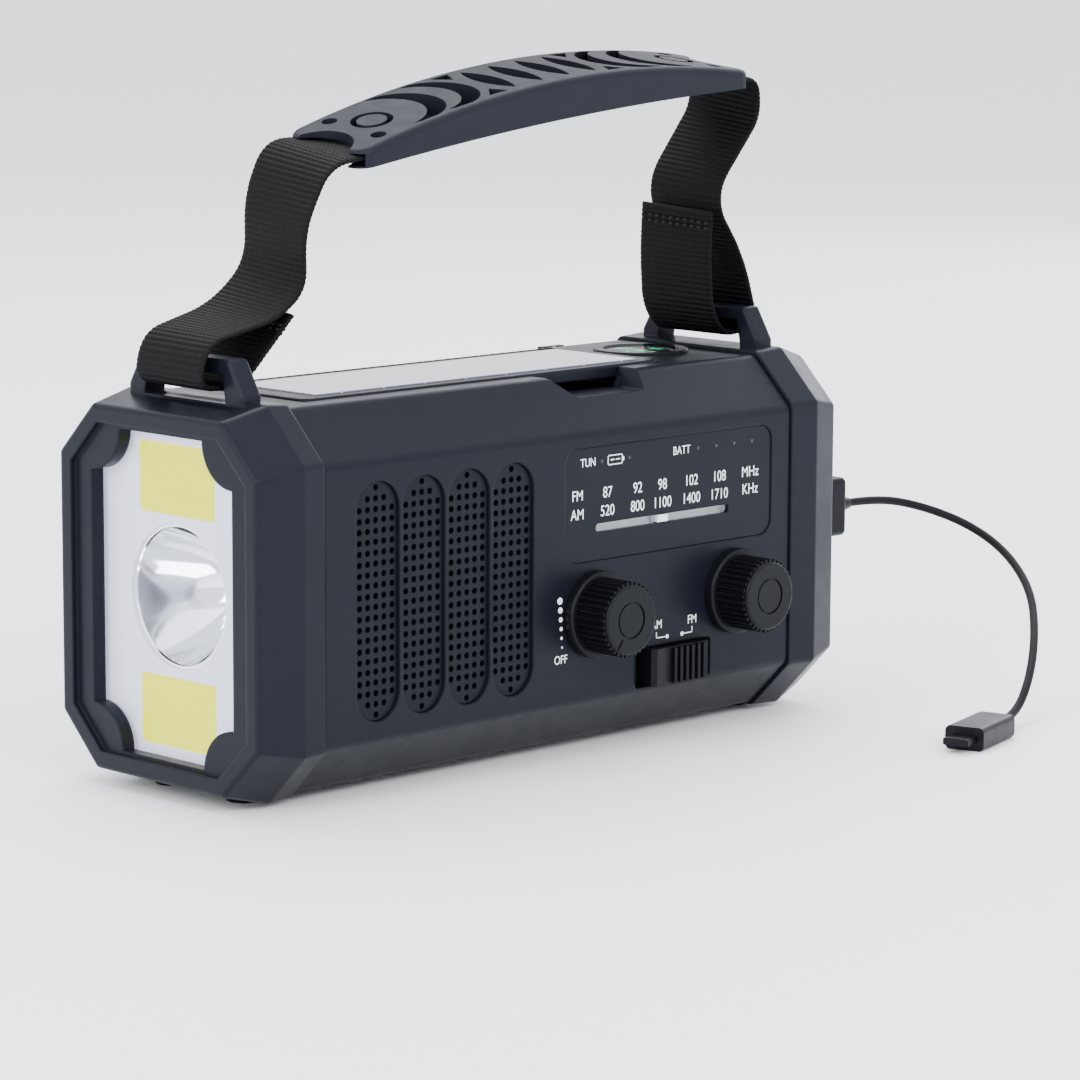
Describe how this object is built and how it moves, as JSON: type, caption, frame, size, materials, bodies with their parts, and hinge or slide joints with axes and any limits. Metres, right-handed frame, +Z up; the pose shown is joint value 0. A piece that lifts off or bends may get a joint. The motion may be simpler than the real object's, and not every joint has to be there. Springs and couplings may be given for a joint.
{
  "type": "emergency radio",
  "caption": "Hand-crank emergency radio with an end lamp, hinged solar lid, knobs, a tuning dial, an aerial, a strap handle and a charging cable.",
  "frame": {"origin": "centre of the body's footprint, on the plane the feet stand on", "axes": "+X along the radio from the lamp end to the port end, -Y out of the front with the dial and knobs, +Z up"},
  "size_m": [0.2599, 0.1476, 0.1699],
  "materials": {
    "shell": "satin",
    "cap": "satin",
    "black": "gloss",
    "rubber": "matte",
    "grip": "matte",
    "webbing": "matte",
    "clear": "gloss",
    "white": "matte",
    "cob": "gloss",
    "reflector": "polished",
    "solar": "gloss",
    "steel": "satin",
    "chrome": "polished",
    "brass": "satin",
    "board": "matte",
    "gear": "matte",
    "cell": "gloss",
    "inner": "matte"
  },
  "bodies": {
    "radio": {"front_shell": "shell", "rear_shell": "shell", "screws": "steel", "feet": "rubber", "lamp_cap": "cap", "port_cap": "cap", "usb_socket": "steel", "lamp_lens": "clear", "lamp_panel": "white", "cob_lamps": "cob", "reflector": "reflector", "spot_led": "white", "speaker_grille": "shell", "speaker": "inner", "dial_plate": "shell", "dial_strip": "white", "volume_control": "inner", "tuning_capacitor": "inner", "band_switch_body": "inner", "lid_tray": "shell", "hinge_pin": "steel", "compass_housing": "black", "compass_lens": "clear", "main_board": "board", "battery_cells": "cell", "battery_tray": "inner", "ferrite_aerial": "inner", "generator": "steel", "aerial_foot": "black", "usb_plug": "black", "usb_cable": "black", "phone_plug": "black"},
    "volume_knob": {"volume_knob": "black"},
    "tuning_knob": {"tuning_knob": "black", "tuning_pinion": "gear"},
    "idler_right": {"idler_gear_right": "gear"},
    "idler_left": {"idler_gear_left": "gear"},
    "capacitor_wheel": {"capacitor_gear": "gear"},
    "pointer": {"pointer_carriage": "white"},
    "band_switch": {"band_switch_cap": "black"},
    "lid": {"solar_lid": "shell", "solar_cell": "solar", "reading_lamp": "white"},
    "compass": {"compass_card": "black"},
    "crank": {"crank_hub": "black", "crank_gear": "gear", "crank_arm": "black"},
    "crank_fold": {"crank_knuckle": "steel"},
    "crank_grip": {"crank_grip": "black"},
    "generator_idler": {"generator_idler": "gear"},
    "generator_rotor": {"generator_pinion": "brass"},
    "lamp_button": {"lamp_button": "rubber"},
    "alarm_button": {"alarm_button": "rubber"},
    "aerial": {"aerial_outer": "chrome"},
    "aerial_middle": {"aerial_middle": "chrome"},
    "aerial_tip": {"aerial_tip": "chrome"},
    "port_cover": {"port_cover": "rubber"},
    "handle": {"handle_grip": "grip", "strap_left": "webbing", "strap_right": "webbing"}
  },
  "joints": [
    {"name": "volume_turn", "type": "hinge", "parent": "radio", "child": "volume_knob", "pos_m": [0.009, -0.043, 0.0359], "axis": [0, 1, 0], "range_deg": [0, 300]},
    {"name": "tuning_turn", "type": "hinge", "parent": "radio", "child": "tuning_knob", "pos_m": [0.0588, -0.043, 0.0359], "axis": [0, 1, 0], "range_deg": [-164.8, 164.8]},
    {"name": "idler_right_turn", "type": "hinge", "parent": "radio", "child": "idler_right", "pos_m": [0.0449, -0.03, 0.0359], "axis": [0, 1, 0], "range_deg": [-164.8, 164.8]},
    {"name": "idler_left_turn", "type": "hinge", "parent": "radio", "child": "idler_left", "pos_m": [0.031, -0.03, 0.0359], "axis": [0, 1, 0], "range_deg": [-164.8, 164.8]},
    {"name": "capacitor_turn", "type": "hinge", "parent": "radio", "child": "capacitor_wheel", "pos_m": [0.0588, -0.03, 0.05675], "axis": [0, 1, 0], "range_deg": [-82.4, 82.4]},
    {"name": "pointer_slide", "type": "slide", "parent": "radio", "child": "pointer", "axis": [1, 0, 0], "range_m": [-0.02, 0.02]},
    {"name": "band_slide", "type": "slide", "parent": "radio", "child": "band_switch", "axis": [1, 0, 0], "range_m": [-0.0035, 0]},
    {"name": "lid_open", "type": "hinge", "parent": "radio", "child": "lid", "pos_m": [0, 0.0196, 0.0912], "axis": [-1, 0, 0], "range_deg": [0, 95]},
    {"name": "compass_turn", "type": "hinge", "parent": "radio", "child": "compass", "pos_m": [0.0653, 0.003, 0.09], "axis": [0, 0, 1], "continuous": true},
    {"name": "crank_turn", "type": "hinge", "parent": "radio", "child": "crank", "pos_m": [-0.025, 0.04, 0.044], "axis": [0, 1, 0], "continuous": true},
    {"name": "crank_grip_fold", "type": "hinge", "parent": "crank", "child": "crank_fold", "pos_m": [0.011, 0.045, 0.044], "axis": [0, 0, -1], "range_deg": [0, 90]},
    {"name": "crank_grip_spin", "type": "hinge", "parent": "crank_fold", "child": "crank_grip", "pos_m": [-0.001, 0.045, 0.044], "axis": [1, 0, 0], "continuous": true},
    {"name": "generator_idler_turn", "type": "hinge", "parent": "radio", "child": "generator_idler", "pos_m": [-0.0002, 0.028, 0.044], "axis": [0, 1, 0], "continuous": true},
    {"name": "generator_turn", "type": "hinge", "parent": "radio", "child": "generator_rotor", "pos_m": [0.0142, 0.022, 0.044], "axis": [0, 1, 0], "continuous": true},
    {"name": "lamp_button_press", "type": "slide", "parent": "radio", "child": "lamp_button", "axis": [0, -1, 0], "range_m": [0, 0.001], "stiffness_N_per_m": 800, "springref_m": -0.0005},
    {"name": "alarm_button_press", "type": "slide", "parent": "radio", "child": "alarm_button", "axis": [0, -1, 0], "range_m": [0, 0.001], "stiffness_N_per_m": 800, "springref_m": -0.0005},
    {"name": "aerial_fold", "type": "hinge", "parent": "radio", "child": "aerial", "pos_m": [0.07, 0.0364, 0.0876], "axis": [0, 1, 0], "range_deg": [0, 90]},
    {"name": "aerial_extend_middle", "type": "slide", "parent": "aerial", "child": "aerial_middle", "axis": [-1, 0, 0], "range_m": [0, 0.095]},
    {"name": "aerial_extend_tip", "type": "slide", "parent": "aerial_middle", "child": "aerial_tip", "axis": [-1, 0, 0], "range_m": [0, 0.095]},
    {"name": "cover_open", "type": "hinge", "parent": "radio", "child": "port_cover", "pos_m": [0.0972, 0.012, 0.0316], "axis": [0, 1, 0], "range_deg": [0, 110]},
    {"name": "handle_lift", "type": "slide", "parent": "radio", "child": "handle", "axis": [0, 0, 1], "range_m": [-0.012, 0.006], "deforming": ["strap_left", "strap_right"]}
  ],
  "couplings": [
    {"joint": "idler_right_turn", "follows": "tuning_turn", "ratio": -1},
    {"joint": "idler_left_turn", "follows": "tuning_turn", "ratio": 1},
    {"joint": "capacitor_turn", "follows": "tuning_turn", "ratio": -0.5},
    {"joint": "pointer_slide", "follows": "tuning_turn", "m_per_rad": 0.00695},
    {"joint": "generator_idler_turn", "follows": "crank_turn", "ratio": -4.1667},
    {"joint": "generator_turn", "follows": "crank_turn", "ratio": 12.5}
  ]
}
